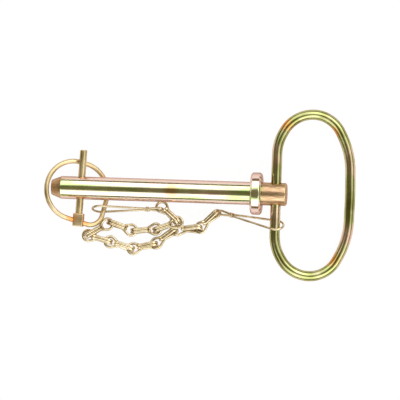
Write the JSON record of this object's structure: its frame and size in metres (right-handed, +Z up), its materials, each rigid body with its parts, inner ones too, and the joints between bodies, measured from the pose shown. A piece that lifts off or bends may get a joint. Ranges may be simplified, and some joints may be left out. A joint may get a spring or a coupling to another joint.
{
  "type": "drawbar pin",
  "caption": "Yellow-plated drawbar pin with collar, swivel handle, linch pin with snap ring, and a knotted keeper chain on two wire connectors",
  "frame": {"origin": "centre of the collar's seat face, on the bar's axis", "axes": "+X along the bar from the nose to the handle, +Y toward the linch pin's tip, +Z up"},
  "size_m": [0.2557, 0.1428, 0.0369],
  "materials": {
    "plated_bar": "bright steel with glossy yellow iridescent zinc plating",
    "plated_handle": "bent steel bar with glossy yellow-green iridescent zinc plating",
    "plated_linch": "forged and drawn steel with tan yellow zinc plating",
    "plated_wire": "drawn steel wire with pale yellow zinc plating"
  },
  "bodies": {
    "bar": {"pin_bar": "plated_bar", "collar": "plated_bar", "handle_connector": "plated_wire", "chain_link_01": "plated_wire", "chain_link_02": "plated_wire", "chain_link_03": "plated_wire", "chain_link_04": "plated_wire", "chain_link_05": "plated_wire", "chain_link_06": "plated_wire", "chain_link_07": "plated_wire", "chain_link_08": "plated_wire", "chain_link_09": "plated_wire", "chain_link_10": "plated_wire", "chain_link_11": "plated_wire"},
    "handle": {"handle": "plated_handle"},
    "linch_pin": {"linch_pin": "plated_linch", "ring_connector": "plated_wire"},
    "snap_ring": {"snap_ring": "plated_linch"}
  },
  "joints": [
    {"name": "handle_swivel", "type": "hinge", "parent": "bar", "child": "handle", "pos_m": [0.0206, 0, 0], "axis": [0, 1, 0], "range_deg": [-170, 140]},
    {"name": "linch_slide", "type": "slide", "parent": "bar", "child": "linch_pin", "axis": [0.0454, 0.999, 0], "range_m": [-0.0005, 0.004]},
    {"name": "ring_hinge", "type": "hinge", "parent": "linch_pin", "child": "snap_ring", "pos_m": [-0.14377, -0.02807, 0], "axis": [-0.8798, 0.2707, 0.3907], "range_deg": [0, 75], "deforming": ["ring_connector"]}
  ]
}
